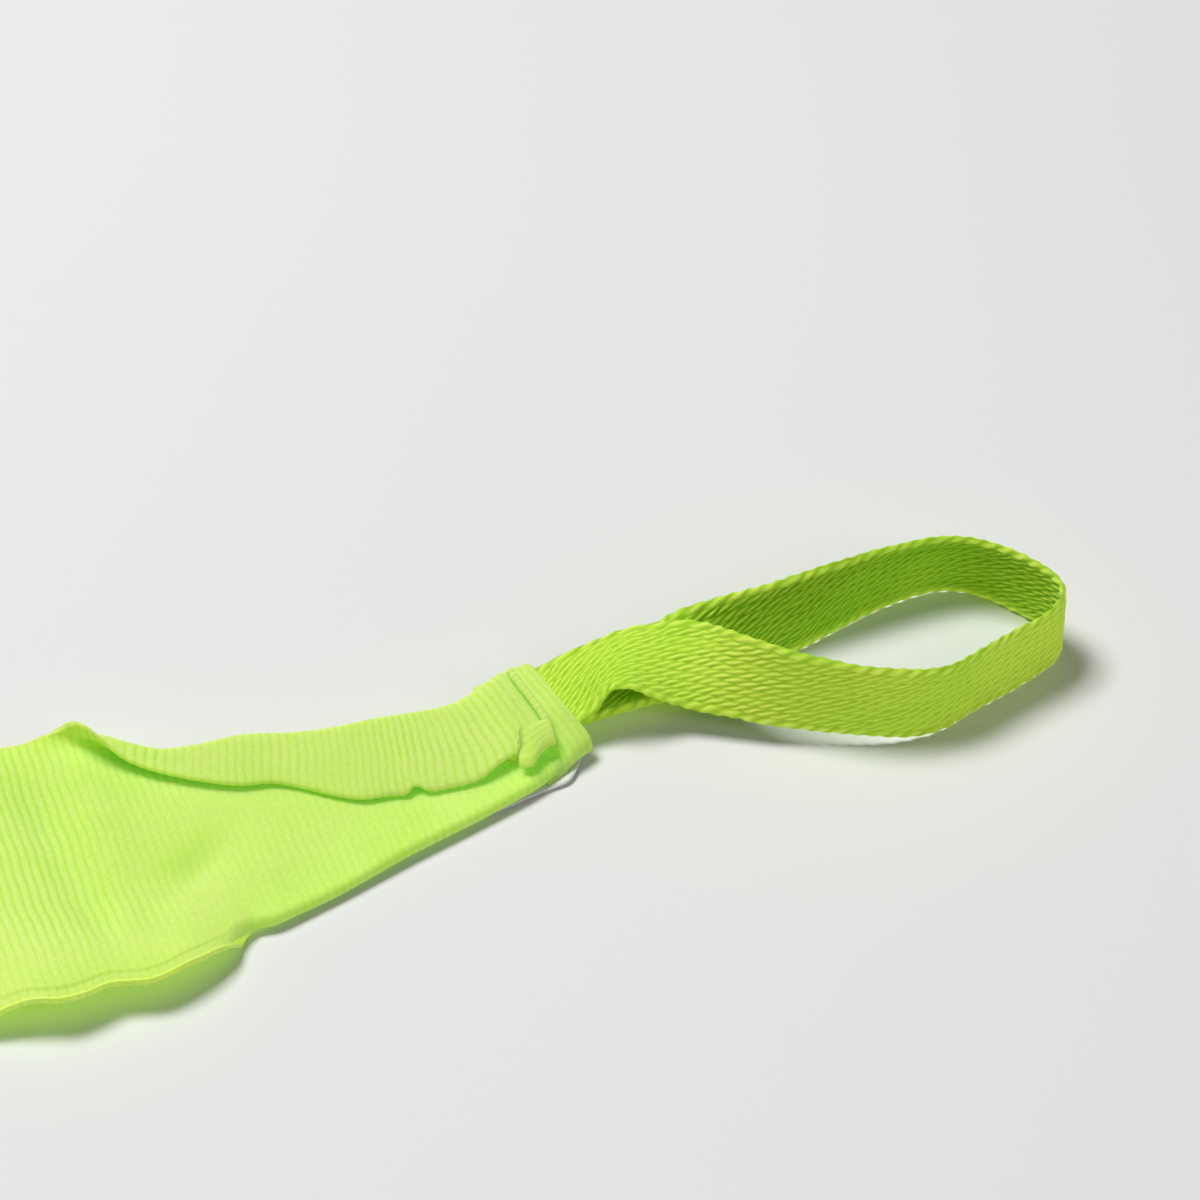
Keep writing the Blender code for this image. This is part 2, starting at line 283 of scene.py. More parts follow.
def ribbed_cotton():
    n = Nodes("ribbed_cotton_fabric")
    cloth = n.add("ShaderNodeUVMap", uv_map="cloth").outputs["UV"]
    place = n.add("ShaderNodeNewGeometry").outputs["Position"]
    relief = n.add("ShaderNodeAttribute", attribute_name="relief").outputs["Fac"]
    # Painted shade: the colour follows the rib relief. It is darker and greener in the grooves
    # and lighter on the rib tops.
    height = n.math("MULTIPLY_ADD", relief, 0.5)
    height.node.inputs[2].default_value = 0.5
    base = n.ramp(height, [(0.0, (0.46, 0.80, 0.06)), (0.42, (0.65, 0.86, 0.19)),
                           (1.0, (0.72, 0.89, 0.27))])
    # A random soft mottling of the cloth's tone.
    cloud = n.noise(place, 90.0, 4.0)
    mottle_and_painted_face_light = n.ramp(cloud, [(0.30, (0.92, 0.97, 0.80)), (0.65, (1.0, 1.0, 1.0))])
    base = n.mix(1.0, base, mottle_and_painted_face_light, "MULTIPLY")
    yarn = n.noise(n.scaled(cloth, (2.2, 1.3, 1.0)), 1.0, 2.0, 0.6)
    light = n.ramp(yarn, [(0.40, (0.90, 0.97, 0.80)), (0.62, (1.0, 1.0, 1.0))])
    base = n.mix(0.8, base, light, "MULTIPLY")
    fleck = n.noise(n.scaled(cloth, (0.9, 0.9, 1.0)), 1.0, 1.0, 0.4)
    yellow = n.ramp(fleck, [(0.70, (0.0, 0.0, 0.0)), (0.78, (0.6, 0.6, 0.6))])
    base = n.mix(yellow, base, (0.72, 0.80, 0.05))
    n.link(base, n.shader.inputs["Base Color"])
    fine = n.noise(n.scaled(cloth, (3.2, 1.8, 1.0)), 1.0, 3.0, 0.65)
    n.bump(fine, 0.55, 0.00018)
    # Painted glow: a faint emission over the whole cloth stands in for its neon brightness. A
    # strong emission on the sides marked in the attribute stands in for light passing through the
    # cloth to the floor below.
    painted_light_mask = n.add("ShaderNodeAttribute", attribute_name="painted_light_mask").outputs["Fac"]
    n.link(n.ramp(painted_light_mask, [(0.0, (0.02, 0.07, 0.01)), (1.0, (0.20, 0.34, 0.0))]),
           n.shader.inputs["Emission Color"])
    n.set(Roughness=0.92, Subsurface_Weight=0.85, Subsurface_Scale=0.004,
          Sheen_Weight=0.12, Sheen_Roughness=0.5, Specular_IOR_Level=0.1,
          Emission_Strength=1.0)
    n.shader.inputs["Subsurface Radius"].default_value = (0.8, 1.0, 0.1)
    return n.material


def cotton_tape():
    n = Nodes("cotton_tape_fabric")
    cloth = n.add("ShaderNodeUVMap", uv_map="cloth").outputs["UV"]
    place = n.add("ShaderNodeNewGeometry").outputs["Position"]
    relief = n.add("ShaderNodeAttribute", attribute_name="relief").outputs["Fac"]
    # Painted shade: the colour follows the yarn relief. It is dark green between the yarns and
    # pale on their crowns.
    height = n.math("MULTIPLY_ADD", relief, 0.5)
    height.node.inputs[2].default_value = 0.5
    base = n.ramp(height, [(0.0, (0.07, 0.28, 0.005)), (0.40, (0.38, 0.68, 0.04)),
                           (0.70, (0.66, 0.86, 0.10)), (1.0, (0.82, 0.95, 0.24))])
    # Painted light by face: the outer face (0 in the attribute) is coloured paler and given a
    # painted glow. The inner face (1) is kept darker and more saturated.
    face = n.add("ShaderNodeAttribute", attribute_name="painted_light_mask").outputs["Fac"]
    mottle_and_painted_face_light = n.ramp(face, [(0.0, (0.88, 0.80, 1.0)), (1.0, (0.85, 0.90, 0.6))])
    base = n.mix(1.0, base, mottle_and_painted_face_light, "MULTIPLY")
    n.link(n.ramp(face, [(0.0, (0.17, 0.24, 0.014)), (1.0, (0.02, 0.03, 0.0))]),
           n.shader.inputs["Emission Color"])
    cloud = n.noise(place, 60.0, 3.0)
    patch = n.ramp(cloud, [(0.35, (0.80, 0.94, 0.65)), (0.65, (1.06, 1.0, 1.0))])
    base = n.mix(1.0, base, patch, "MULTIPLY")
    strand = n.noise(n.scaled(cloth, (4.5, 7.0, 1.0)), 1.0, 3.0, 0.6)
    light = n.ramp(strand, [(0.35, (0.72, 0.88, 0.60)), (0.62, (1.0, 1.0, 1.0))])
    base = n.mix(0.9, base, light, "MULTIPLY")
    n.link(base, n.shader.inputs["Base Color"])
    n.bump(strand, 0.7, 0.00016)
    n.set(Roughness=0.9, Subsurface_Weight=0.4, Subsurface_Scale=0.0012,
          Sheen_Weight=0.2, Sheen_Roughness=0.45, Specular_IOR_Level=0.15,
          Emission_Strength=1.0)
    n.shader.inputs["Subsurface Radius"].default_value = (0.7, 1.0, 0.1)
    return n.material


def plain_weave(name, colour, shade, grain, strength, roughness, sheen):
    """Label, thread, pile and hook: a fine weave or fluff over one colour."""
    n = Nodes(name)
    place = n.add("ShaderNodeNewGeometry").outputs["Position"]
    yarn = n.noise(place, grain, 3.0, 0.6)
    n.link(n.ramp(yarn, [(0.35, shade), (0.62, colour)]), n.shader.inputs["Base Color"])
    n.bump(yarn, strength, 0.0002)
    n.set(Roughness=roughness, Sheen_Weight=sheen, Sheen_Roughness=0.5,
          Specular_IOR_Level=0.2)
    return n.material


def floor_paper():
    n = Nodes("floor_paper")
    place = n.add("ShaderNodeNewGeometry").outputs["Position"]
    tone = n.noise(place, 3.0, 2.0)
    n.link(n.ramp(tone, [(0.3, (0.80, 0.805, 0.785)), (0.7, (0.815, 0.82, 0.80))]),
           n.shader.inputs["Base Color"])
    n.set(Roughness=1.0, Specular_IOR_Level=0.0)
    return n.material


COTTON = ribbed_cotton()
TAPE_CLOTH = cotton_tape()
THREAD = plain_weave("spun_thread", (0.70, 0.92, 0.26), (0.50, 0.80, 0.12), 3500.0, 0.4, 0.7, 0.2)
PINK_THREAD = plain_weave("faded_thread", (0.80, 0.84, 0.28), (0.70, 0.80, 0.20), 3500.0, 0.4,
                          0.7, 0.2)
LABEL = plain_weave("satin_label", (0.88, 0.89, 0.86), (0.80, 0.82, 0.78), 2600.0, 0.25, 0.45,
                    0.1)
PILE = plain_weave("brushed_pile", (0.62, 0.92, 0.12), (0.40, 0.74, 0.04), 1500.0, 0.9, 0.95,
                   0.5)
HOOK = plain_weave("hook_nylon", (0.60, 0.90, 0.12), (0.48, 0.82, 0.08), 2000.0, 0.3, 0.5, 0.1)


# ---- the folded end of the band --------------------------------------------------------

# Distance behind the mouth, then y: the rear fold, the front fold and the flap's free edge.
# Many of these points were projected back from places picked on the photo by a scratch
# program and then edited; see "Read first" in report.md.
REAR_FOLD = [(140, 25), (84, 25), (78, 24.9), (72, 24.4), (66, 23.2), (63.7, 22.2), (60.2, 19.4),
             (57, 17.0), (52, 15.8), (44.7, 15.5), (36.5, 13.3), (30, 12.4), (23, 11.9),
             (16, 11.2), (12, 11.1), (8, 11.3), (5.3, 11.7), (2.8, 12.5), (0, 13.8)]
FRONT_FOLD = [(140, -25), (112, -25), (100, -25.6), (94, -26.2), (88.4, -26.8), (85, -27.6),
              (82, -28.6), (78, -28.2), (74.8, -27.4), (72, -28.0), (69.7, -28.6),
              (66.5, -28.2), (63.9, -27.3), (60.5, -25.9), (57.7, -24.2), (55, -22.2),
              (52.5, -20.7), (50, -20.0), (46, -18.9), (41, -17.5), (30, -13.8), (17, -9.5),
              (6, -5.4), (0, -2.7)]
FREE_EDGE = [(72, 25), (69, 22.6), (66.4, 19.8), (63.4, 17), (60, 13.6), (56.4, 10.8),
             (52.7, 8.4), (47.6, 5.9), (42.7, 4.8), (39.5, 2.7), (35.4, -0.6), (31.7, -2.8),
             (26.6, -3.5), (24.4, -4.0), (22.6, -3.3), (21.2, -4.3), (18, -4.7), (15, -4.9),
             (12, -4.6), (10, -3.9), (6, -2.6), (0, -1.6)]
# Gap between the flap's free edge and the ply below it.
EDGE_LIFT = [(72, 0.4), (67, 2.6), (63, 1.9), (57, 1.1), (50, 0.7), (44, 0.4), (38, 0.25),
             (30, 0.4), (25, 0.3), (22.6, 0.8), (20.5, 0.3), (15, 0.25), (10, 0.3), (0, 0.3)]

FLAP_COLUMNS = 23
REAR_COLUMNS = 12
MAIN_COLUMNS = 40
FRONT_COLUMNS = 10
UNDER_COLUMNS = 12


def undulation(back, y):
    """Soft rises and hollows of the ply."""
    z = -1.5 * bump(74.6 + 0.12 * y, 2.6, back) * smooth(-26, -12, y) * smooth(24, 8, y)
    z = z - 1.0 * bump(66.5, 3.2, back) * bump(-18.0, 6.0, y)
    along = 0.6 * (y + 6.2) - 0.8 * (back - 57.0)
    across = 0.8 * (y + 6.2) + 0.6 * (back - 57.0)
    z = z - 1.3 * bump(0.0, 7.0, along) * bump(0.0, 3.0, across)
    z = z + 0.9 * bump(68.5, 3.6, back) * bump(4.0, 12.0, y)
    z = z + 0.5 * bump(84.0, 4.5, back)
    z = z + 0.4 * bump(50.0, 6.0, back) * bump(-14.0, 5.0, y)
    z = z - 0.5 * bump(52.9 + 0.37 * (y + 19.5), 0.6, back) * bump(-19.5, 2.0, y)
    z = z + 0.16 * ripple(back / 7.0, y / 9.0, 1.0) * smooth(2, 20, back)
    return z


def edge_rise(back, y):
    """The strip's long edges curl up off the surface behind the taper."""
    along = smooth(50, 66, back) * smooth(98, 85, back)
    front = 3.4 * along * smooth(6, HALF, -y)
    rear = 1.3 * smooth(60, 70, back) * smooth(104, 84, back) * smooth(8, HALF, y)
    wave = 0.2 * np.sin(back / 3.1) * smooth(17, HALF, abs(y)) * smooth(56, 70, back)
    return front + rear + wave * smooth(116, 100, back)


def turned_line(start, heading, turn, arc, tail, arc_steps, tail_steps, rise=0.0, power=2.0):
    """Bends left by turn over arc, then runs on for tail, climbing rise at its end."""
    middles = heading + turn * (np.arange(arc_steps) + 0.5) / arc_steps
    steps = np.stack([np.cos(middles), np.sin(middles)], axis=-1) * (arc / arc_steps)
    bend = np.asarray(start) + np.cumsum(steps, axis=0)
    last = heading + turn
    t = np.arange(1, tail_steps + 1)[:, None] / tail_steps
    run = bend[-1] + t * tail * np.array([math.cos(last), math.sin(last)])
    run[:, 1] += rise * t[:, 0] ** power
    return np.concatenate([bend, run])


def end_section(back):
    """The ply's middle line across the band at one distance behind the mouth."""
    rear = float(curve(REAR_FOLD, back))
    front = float(curve(FRONT_FOLD, back))
    over_tape = float(smooth(11, 1.5, back))
    rear_folded = float(smooth(76, 61, back))
    front_folded = float(smooth(60, 49, back))
    height = BAND_Z + 0.25 * float(smooth(44, 14, back))

    over = 1.9 * (1 - over_tape) + 4.1 * over_tape
    radius = over / 2
    arc = math.pi * radius
    free = float(curve(FREE_EDGE, back))
    tail = max(rear - radius - free, 0.3) if back < 72 else 0.3
    inset = rear_folded * radius + (1 - rear_folded) * (arc + tail)
    lift = float(curve(EDGE_LIFT, back))
    settled = (PLY + lift + 1.2 * float(smooth(14, 8, back)) - over) * rear_folded
    rear_start = np.array([rear - inset, height])
    top = turned_line(rear_start, 0.0, math.pi * rear_folded, arc, tail,
                      REAR_COLUMNS, FLAP_COLUMNS, settled, 2 + 1.5 * over_tape)

    under = PLY + 0.3
    arc = math.pi * under / 2
    reach = min(HALF + front, rear - front - 4)
    tail = max(reach - under / 2, 0.4)
    inset = front_folded * under / 2 + (1 - front_folded) * (arc + tail)
    front_start = np.array([front + inset, height])
    below = turned_line(front_start, math.pi, math.pi * front_folded, arc, tail,
                        FRONT_COLUMNS, UNDER_COLUMNS)
    t = np.linspace(0, 1, MAIN_COLUMNS)[:, None]
    main = rear_start * (1 - t) + front_start * t
    return np.concatenate([top[::-1], main, below])


def build_end():
    """The taper and the flat part behind it, from the mouth to the first bending piece."""
    step = RIB / ROWS_PER_RIB
    last = FIRST_HINGE - PITCH / 2
    stations = np.concatenate([[0.0, 0.1], np.arange(0.25, last - 0.01, step),
                               [last - SLIT / 2]])
    lines = np.array([end_section(back) for back in stations])
    y, z = lines[..., 0], lines[..., 1]
    count = y.shape[1]
    back = np.repeat(stations[:, None], count, axis=1)

    run = np.stack([np.gradient(y, axis=1), np.gradient(z, axis=1)], axis=-1)
    length = np.linalg.norm(run, axis=-1)
    normal = np.stack([-run[..., 1], run[..., 0]], axis=-1) / length[..., None]
    across = np.cumsum(length, axis=1)
    across = across - across[:, [FLAP_COLUMNS + REAR_COLUMNS + MAIN_COLUMNS // 2]]

    column = np.arange(count)
    flap = smooth(FLAP_COLUMNS + REAR_COLUMNS, FLAP_COLUMNS + 2, column)[None, :]
    flap = flap * smooth(70, 60, back)
    receded = back + flap * 4.6 * smooth(40, 0, back)
    corner = smooth(2.5, -4.0, y) ** 1.5 * smooth(11, 0, back) * (1 - flap)
    receded = receded + 1.5 * corner
    fold_column = FLAP_COLUMNS + REAR_COLUMNS // 2
    beyond = np.maximum(across[:, [fold_column]] - across, 0) * smooth(72, 60, back)
    skew = 0.24 * smooth(3, 22, back)
    phase = back - skew * beyond
    clear = wear(back, y) * (1 - 0.5 * smooth(-14, -22, y) * smooth(104, 84, back))
    flap_clear = 0.50 + 0.3 * bump(18.0, 8.0, back) + 0.15 * ripple(back / 5.0, y / 4.0, 2.0)
    relief = ribs(phase, across) * (clear + (flap_clear - clear) * flap)
    relief = relief * smooth(0.0, 1.5, back)

    x = MOUTH_X - receded
    x = x - math.tan(MOUTH_TURN) * (y - MOUTH_Y) * smooth(30, 0, back)
    wave = undulation(back, y) * smooth(0, 10, back) + edge_rise(back, y)
    under = (column >= FLAP_COLUMNS + REAR_COLUMNS + MAIN_COLUMNS + 2)[None, :]
    z = z + wave * np.where(under, 0.9, 1.0)
    z = np.maximum(z, PLY / 2 + 0.25)

    ends = np.ones(len(stations))
    ends[:4] = (0.35, 0.7, 0.88, 0.97)
    half = PLY / 2 * rim(count)[None, :] * ends[:, None]
    out = half + RIB_HEIGHT * relief * rim(count)[None, :]
    faces = []
    for side in (1, -1):
        move = normal * (side * out)[..., None]
        faces.append(np.stack([x, y + move[..., 0], z + move[..., 1]], axis=-1))
    pattern = np.stack([phase, across], axis=-1)
    below = (column >= FLAP_COLUMNS + REAR_COLUMNS + MAIN_COLUMNS + FRONT_COLUMNS)[None, :]
    # The downward faces of the ply get painted glow, fading out from 98 to 118 mm behind the
    # mouth. It stands in for light coming through the cloth and lighting the floor under the
    # lifted edges.
    mesh = closed_sheet("band_folded_end", faces[0], faces[1], pattern, relief,
                        (1.0 - np.maximum(flap, below)) * smooth(118, 98, back),
                        below * smooth(118, 98, back))
    made = new_object("band_folded_end", mesh, COTTON)
    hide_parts("band_thumb_end")
    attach(made, "thumb_end")
    return made


# ---- the bending part of the band ------------------------------------------------------

def flat_strip(name, path, distances):
    """A thick ribbed strip as wide as the band, along a line of (x, z) points."""
    columns = 64
    y = np.linspace(HALF, -HALF, columns)[None, :]
    x, z = path[:, :1], path[:, 1:]
    run = np.gradient(path, axis=0)
    run = run / np.linalg.norm(run, axis=1)[:, None]
    normal = np.stack([run[:, 1], -run[:, 0]], axis=-1)
    back = distances[:, None]
    relief = 0.72 * ribs(back + 0 * y, HALF - y + 0 * back)
    y = y * (1 + 0.006 * np.sin(back / 2.3) + 0.004 * np.sin(back / 0.9 + 1))
    out = PLY / 2 * rim(columns)[None, :] + RIB_HEIGHT * relief * rim(columns)[None, :]
    faces = []
    for side in (1, -1):
        dx = normal[:, :1] * out * side
        dz = normal[:, 1:] * out * side
        faces.append(np.stack([x + dx, y + 0 * dx, z + dz], axis=-1))
    pattern = np.stack([back + 0 * y, HALF - y], axis=-1)
    return closed_sheet(name, faces[0], faces[1], pattern, relief)


def build_bending_pieces():
    """One piece for each hinge, from the middle of one segment to the middle of the next."""
    made = []
    step = RIB / ROWS_PER_RIB
    for number in range(SEGMENTS + 1):
        start = FIRST_HINGE + (number - 0.5) * PITCH
        distances = start + np.arange(round(PITCH / step) + 1) * step
        distances[[0, -1]] += (SLIT / 2, -SLIT / 2)
        path = np.stack([MOUTH_X - distances, np.full(len(distances), BAND_Z)], axis=-1)
        name = f"band_bend_{number + 1}_fabric"
        piece = new_object(name, flat_strip(name, path, distances), COTTON)
        if number < SEGMENTS:
            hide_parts(f"band_segment_{number + 1}")
        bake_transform(piece)
        made.append(piece)
    return made


def build_tab():
    """The far end with its hem turned under."""
    step = RIB / ROWS_PER_RIB
    start = FIRST_HINGE + (SEGMENTS + 0.5) * PITCH
    radius = (PLY + 0.35) / 2
    straight = BAND_LENGTH - radius - PLY / 2 - start
    arc = math.pi * radius
    total = straight + arc + 8.0
    length = np.arange(round(total / step) + 1) * step
    length[0] += SLIT / 2
    angle = np.clip((length - straight) / radius, 0, math.pi)
    beyond = np.maximum(length - straight - arc, 0)
    x = MOUTH_X - start - np.minimum(length, straight) - radius * np.sin(angle) + beyond
    z = BAND_Z - radius * (1 - np.cos(angle))
    path = np.stack([x, z], axis=-1)
    mesh = flat_strip("band_tab_fabric", path, start + length)
    made = new_object("band_tab_fabric", mesh, COTTON)
    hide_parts("band_tab")
    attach(made, "tab")
    return made


# ---- the mouth of the folded end -------------------------------------------------------

def at_mouth(ahead, left, height):
    """Points in the mouth's own axes, in mm, as points in the part's frame."""
    cos, sin = math.cos(MOUTH_TURN), math.sin(MOUTH_TURN)
    x = MOUTH_X + ahead * cos - left * sin
    y = MOUTH_Y + ahead * sin + left * cos
    return np.stack(np.broadcast_arrays(x, y, height), axis=-1)


def resample(points, step):
    """The same line with even steps."""
    points = np.asarray(points, float)
    gaps = np.linalg.norm(np.diff(points, axis=0), axis=1)
    far = np.concatenate([[0], np.cumsum(gaps)])
    count = max(round(far[-1] / step), 2)
    places = np.linspace(0, far[-1], count + 1)
    line = np.stack([np.interp(places, far, points[:, k]) for k in range(points.shape[1])],
                    axis=-1)
    return line, places


def spline(points, steps):
    """A Catmull-Rom line through points."""
    route = np.array(points, float)
    knots = np.vstack([2 * route[0] - route[1], route, 2 * route[-1] - route[-2]])
    rows = []
    for k in range(1, len(knots) - 2):
        a, b, c, d = knots[k - 1:k + 3]
        for t in np.arange(steps) / steps:
            rows.append(0.5 * (2 * b + (c - a) * t + (2 * a - 5 * b + 4 * c - d) * t ** 2
                               + (3 * b - a - 3 * c + d) * t ** 3))
    rows.append(route[-1])
    return np.array(rows)


def build_mouth_hem():
    """The ply that covers the tape ends: a rounded hem with ribs along the mouth."""
    profile = [(7.9, 3.8), (8.2, 4.8), (7.4, 5.8), (5.6, 6.1), (1.0, 6.1), (-2.5, 5.85),
               (-5.0, 5.0), (-6.7, 4.2), (-7.8, 3.6), (-8.6, 2.9), (-8.9, 2.1), (-8.8, 1.4)]
    line, across = resample(spline(profile, 8), 0.35)
    run = np.gradient(line, axis=0)
    run = run / np.linalg.norm(run, axis=1)[:, None]
    normal = np.stack([run[:, 1], -run[:, 0]], axis=-1)
    depth = np.concatenate([[0, 0.06, 0.2, 0.4], np.arange(0.6, 9.1, 0.2)])
    front = 0.35 + 1.15 * smooth(-2.0, -8.5, line[:, 0])[None, :]
    ahead = front - depth[:, None]
    relief = 0.45 * ribs(1.02 * depth[:, None] - 0.5, 0.6 * across[None, :])
    relief = relief * smooth(0.2, 0.9, depth)[:, None]
    low = smooth(-3.0, -6.5, line[:, 0])[None, :]
    sink = -(0.9 + 1.1 * low) * smooth(2.5, 8.5, depth)[:, None]
    spread = -0.3 * depth[:, None] * smooth(-4.0, -8.5, line[:, 0])[None, :]
    taper = smooth(across[-1], across[-1] - 2.5, across)
    share = np.clip(1 - (1 - np.clip(depth / 0.6, 0, 1)) ** 2, 0.02, 1) ** 0.5
    edge = rim(len(line)) * (0.3 + 0.7 * taper)
    out = (0.5 * share[:, None] + RIB_HEIGHT * relief) * edge[None, :]
    faces = []
    for side in (1, -1):
        left = line[None, :, 0] + normal[None, :, 0] * out * side + spread
        high = line[None, :, 1] + normal[None, :, 1] * out * side + sink
        faces.append(at_mouth(ahead, left, high))
    pattern = np.stack(np.broadcast_arrays(depth[:, None], across[None, :]), axis=-1)
    mesh = closed_sheet("mouth_hem", faces[0], faces[1], pattern, relief)
    made = new_object("mouth_hem", mesh, COTTON)
    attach(made, "thumb_end")
    return made


def tube(line, widths, heights, sides, level):
    """Rings of an oval tube along a line; level is the direction across it."""
    run = np.gradient(line, axis=0)
    run = run / np.linalg.norm(run, axis=1)[:, None]
    side = np.cross(level, run)
    side = side / np.linalg.norm(side, axis=1)[:, None]
    up = np.cross(run, side)
    angle = np.arange(sides) * 2 * math.pi / sides
    return (line[:, None, :]
            + side[:, None, :] * (np.cos(angle)[None, :] * widths[:, None])[..., None]
            + up[:, None, :] * (np.sin(angle)[None, :] * heights[:, None])[..., None])


def tube_faces(rings, base=0):
    """Faces of a capped tube."""
    rows, sides = rings.shape[:2]
    index = np.arange(rows * sides).reshape(rows, sides) + base
    after = np.roll(index, -1, axis=1)
    quads = np.stack([index[:-1], after[:-1], after[1:], index[1:]], axis=-1).reshape(-1, 4)
    caps = [tuple(reversed(index[0].tolist())), tuple(index[-1].tolist())]
    return quads.tolist() + caps


def build_flap_roll():
    """The rolled edge that finishes the flap just behind the mouth hem."""
    route = spline([(-3.2, 7.5, 6.1), (-3.4, 6.6, 6.75), (-3.6, 4.2, 6.95), (-3.7, 1.0, 6.95),
                    (-3.8, -2.5, 6.85), (-4.0, -5.6, 6.5)], 10)
    line = at_mouth(route[:, 0], route[:, 1], route[:, 2])
    line, far = resample(line, 0.2)
    relief = np.cos(2 * np.pi * far / 1.1) * 0.6
    ends = np.clip(np.minimum(far, far[-1] - far) / 0.8, 0.15, 1) ** 0.5
    widths = (0.62 + 0.03 * relief) * ends
    heights = (0.60 + 0.04 * relief) * ends
    rings = tube(line, widths, heights, 14, np.array([0, 0, 1.0]))
    pattern = np.stack([np.repeat(far[:, None], 14, axis=1) * 1.1,
                        np.repeat(np.arange(14)[None, :] * 0.3, len(far), axis=0)], axis=-1)
    mesh = mesh_from("flap_end_roll", rings.reshape(-1, 3), tube_faces(rings),
                     pattern.reshape(-1, 2), np.repeat(relief, 14))
    made = new_object("flap_end_roll", mesh, COTTON)
    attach(made, "thumb_end")
    return made


def build_corner_fold():
    """The flap's corner, folded back on itself with its ribs along the band."""
    rows, columns = 60, 44
    u = np.linspace(0, 1, rows)[:, None, None]
    v = np.linspace(0, 1, columns)[None, :, None]
    inner = np.array([-3.5, -5.1, 6.8]) * (1 - v) + np.array([-8.4, -4.0, 6.2]) * v
    outer = np.array([-4.5, -8.8, 5.5]) * (1 - v) + np.array([-11.0, -8.7, 4.5]) * v
    outer = outer + np.array([0.0, -1.7, -0.2]) * np.exp(-((v - 0.75) / 0.3) ** 2)
    middle = inner * (1 - u) + outer * u
    middle = middle + np.array([0, 0, 0.75]) * (u * (1 - u) * 2.4)
    middle = middle - np.array([0, 0, 1.0]) * smooth(0.7, 1.0, v) * smooth(0.9, 0.5, u)
    along, deep = 6.2 * u[..., 0] + 0 * v[..., 0], 6.4 * v[..., 0] + 0 * u[..., 0]
    edge = np.minimum(np.minimum(along, 6.2 - along), np.minimum(deep, 6.4 - deep))
    crown = np.clip(edge / 0.7, 0, 1)
    crown = (1 - (1 - crown) ** 2) ** 0.5
    relief = 0.4 * np.cos(2 * np.pi * (along + 0.06 * np.sin(1.3 * deep)) / 1.25)
    relief = relief * smooth(0.1, 0.6, edge)
    points = []
    for side in (1, -1):
        half = 0.5 * np.maximum(crown, 0.08) + (0.09 * relief if side > 0 else 0)
        high = middle[..., 2] + side * half
        points.append(at_mouth(middle[..., 0], middle[..., 1], high))
    pattern = np.stack([along, deep], axis=-1)
    mesh = closed_sheet("flap_corner_fold", points[1], points[0], pattern, relief)
    made = new_object("flap_corner_fold", mesh, COTTON)
    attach(made, "thumb_end")
    return made


def build_label():
    """The blank woven label under the end, its rim showing past the front corner."""
    rows, columns = 60, 30
    u = np.linspace(0, 1, rows)[:, None]
    v = np.linspace(0, 1, columns)[None, :]
    ahead = 1.9 - 19 * u - 1.2 * np.clip((v - 0.8) / 0.2, 0, 1) ** 2 * np.exp(-u * 12)
    left = 4.0 - (12.2 + 4.2 * smooth(0.0, 0.38, u) + 0.15 * np.sin(9 * u)) * v
    left = left + 2.0 * u * (1 - v)
    high = 0.55 + 0.5 * smooth(0.75, 1.0, v) * smooth(0.5, 0.1, u) + 0.1 * np.sin(7 * u + 3 * v)
    thin = 0.14
    points = [at_mouth(ahead, left, high + thin * side) for side in (1, -1)]
    pattern = np.stack([19 * u + 0 * v, 13.6 * v + 0 * u], axis=-1)
    mesh = closed_sheet("blank_label_cloth", points[1], points[0], pattern, 0 * ahead)
    made = new_object("blank_label_cloth", mesh, LABEL)
    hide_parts("blank_label")
    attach(made, "thumb_end")
    return made


# ---- the thumb loop --------------------------------------------------------------------

# In the mouth's own axes: distance ahead, to the left, height (mm), and the lean of the tape:
# 0 lies with its outer face up, 90 stands on its edge, 180 has its outer face down.
# The route comes from a scratch program's fit to edges picked on the photo, then edited; see
# "Read first" in report.md.
LOOP_ROUTE = [
    (-12.0, -0.9, 4.1, 0), (-5, 0.1, 4.8, 3), (-0.5, 0.4, 4.9, 5), (2.7, 0.4, 5.4, 3),
    (5.5, 0.4, 6.5, -2), (8.5, -0.2, 7.9, -7), (12.0, -1.7, 8.7, 3), (15.0, -3.6, 8.8, 18),
    (18.4, -6.6, 9.0, 38), (23.0, -13.2, 9.6, 64), (29.3, -19.8, 9.0, 79),
    (37.5, -26.0, 8.0, 87), (47, -29.6, 6.7, 91), (56, -29.0, 6.6, 94), (67, -27.5, 6.6, 92),
    (73, -24.5, 6.6, 85), (74.5, -19, 6.6, 82),
    (71.5, -10.5, 6.6, 82), (66, -4.5, 6.6, 83), (57, -2.5, 6.6, 85), (48, -2.5, 6.6, 94),
    (38, -3, 6.6, 104), (27.5, -2, 6.2, 121), (21, -1.2, 5.0, 152), (15.5, -0.5, 4.1, 172),
    (9, 0.1, 3.8, 178),
    (2.7, 0.4, 3.9, 180), (-0.5, 0.4, 3.8, 180), (-5, 0.1, 3.7, 180), (-12.0, -0.9, 3.2, 180),
]


def yarns(along, across):
    """Height of the tape's twisted yarns, from about -1 to 1."""
    wander = 0.16 * ripple(along / 4.0, across / 5.0, 2.0)
    share = (across + TAPE_WIDTH / 2) / TAPE_WIDTH * YARN_ROWS + wander
    row = np.clip(np.floor(share), 0, YARN_ROWS - 1)
    place = share - row - 0.5
    selvedge = (row == 0) | (row == YARN_ROWS - 1)
    rounded = np.sqrt(np.clip(1 - (1.94 * place) ** 2, 0, 1))
    offset = 0.08 * row + 0.17 * np.sin(7.3 * row)
    length = np.where(selvedge, 1.45 * TWIST, TWIST)
    uneven = 0.26 * ripple(along / 2.6, row * 2.1, 5.0)
    slant = np.where(selvedge, 0.7, 1.5)
    strand = np.cos(2 * np.pi * (along / length - slant * place + offset + uneven))
    strand = strand * (1 + 0.4 * ripple(along / 1.9, row * 3.3, 7.0))
    return rounded * (0.62 + 0.5 * strand) * 1.3 - 0.55


